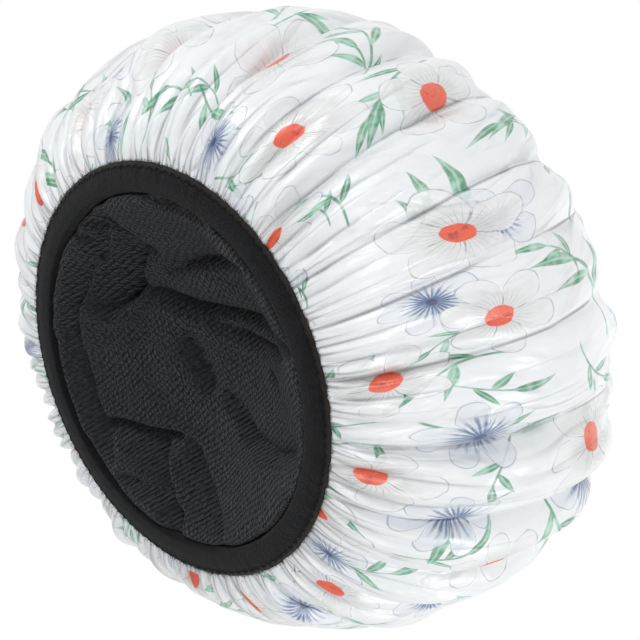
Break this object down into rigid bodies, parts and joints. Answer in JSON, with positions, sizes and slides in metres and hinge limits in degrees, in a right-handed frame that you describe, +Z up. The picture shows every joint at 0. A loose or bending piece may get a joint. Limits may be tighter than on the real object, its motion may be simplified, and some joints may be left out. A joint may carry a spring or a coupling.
{
  "type": "shower cap",
  "caption": "Puffy printed satin shower cap, gathered into a folded knit hem with hidden elastic, over a clear film and a slack ribbed terry lining.",
  "frame": {"origin": "centre of the hem's flat underside, where the cap stands on a surface", "axes": "+Z up through the crown, X along the wider way across the body, Y along the narrower"},
  "size_m": [0.303, 0.2774, 0.162],
  "materials": {
    "satin": "glossy white satin with a scattered floral print in coral, dusty blue and green",
    "film": "clear thin plastic film",
    "terry": "charcoal black ribbed looped terry",
    "knit": "smooth black knit binding",
    "elastic": "black flat elastic",
    "thread": "black sewing thread"
  },
  "bodies": {
    "root": {"outer_shell": "satin", "waterproof_film": "film", "lining": "terry", "hem_band": "knit", "elastic": "elastic", "lap_stitches": "thread", "edge_seam_thread": "thread", "hem_topstitch": "thread"}
  },
  "joints": []
}
